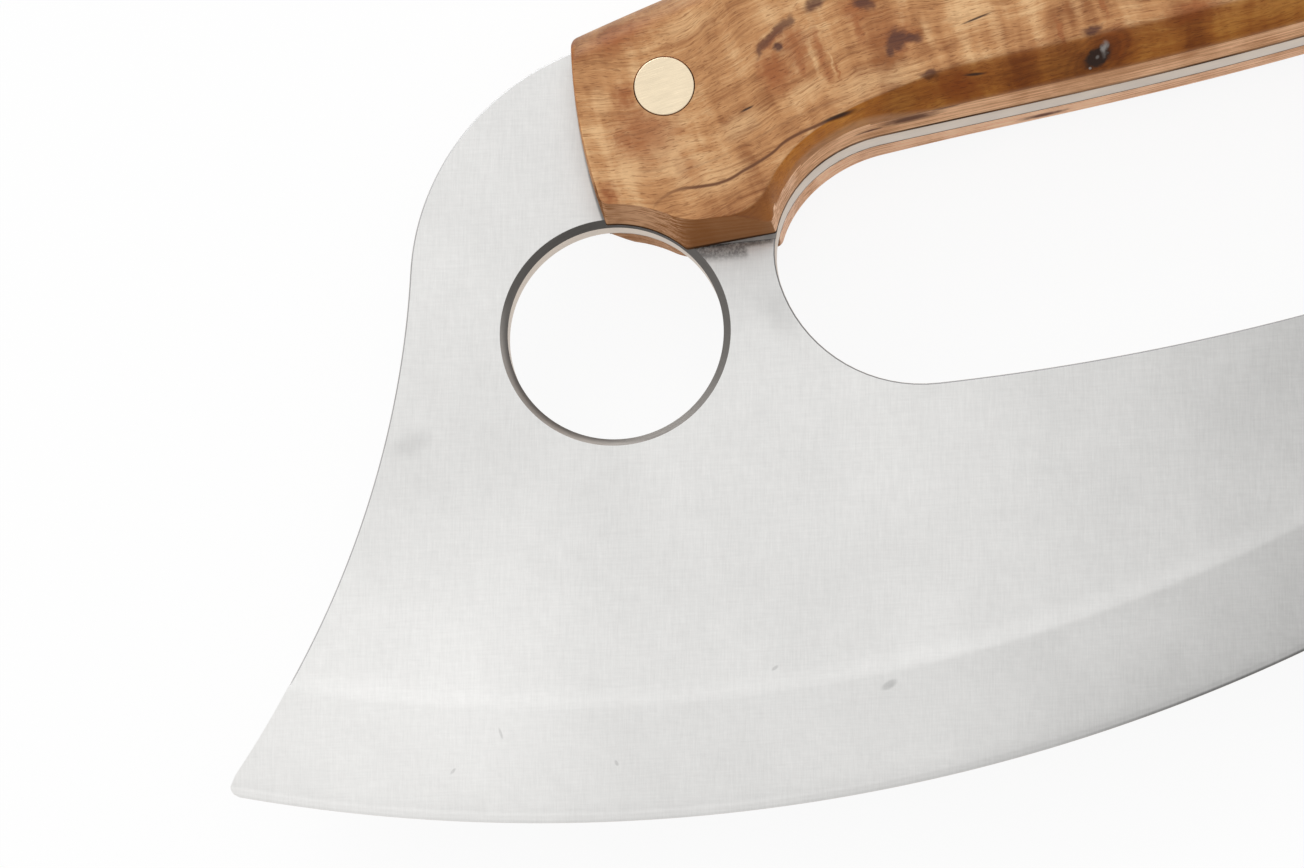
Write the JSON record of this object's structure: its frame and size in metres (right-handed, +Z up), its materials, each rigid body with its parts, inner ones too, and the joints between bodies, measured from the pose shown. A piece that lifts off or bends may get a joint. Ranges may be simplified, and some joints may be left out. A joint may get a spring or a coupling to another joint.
{
  "type": "ulu knife",
  "caption": "Ulu-type chopping knife: a flat steel plate with a curved cutting edge, a finger hole and a hand hole, and pinned curly birch scales on its full tang.",
  "frame": {"origin": "under the middle of the knife's bounding box, on the surface that the right scale lies on", "axes": "+X along the handle from the nose to the rear end, +Y from the cutting edge to the handle, +Z up, square to the blade, towards its left side"},
  "size_m": [0.1776, 0.087, 0.0182],
  "materials": {
    "steel": "satin, finely brushed",
    "birch": "oiled and polished curly birch",
    "epoxy": "dark glue line",
    "brass": "brushed flush with the wood"
  },
  "bodies": {
    "root": {"blade": "steel", "left_bond_layer": "epoxy", "right_bond_layer": "epoxy", "left_scale": "birch", "right_scale": "birch", "front_pin": "brass", "middle_pin": "brass", "rear_pin": "brass"}
  },
  "joints": []
}
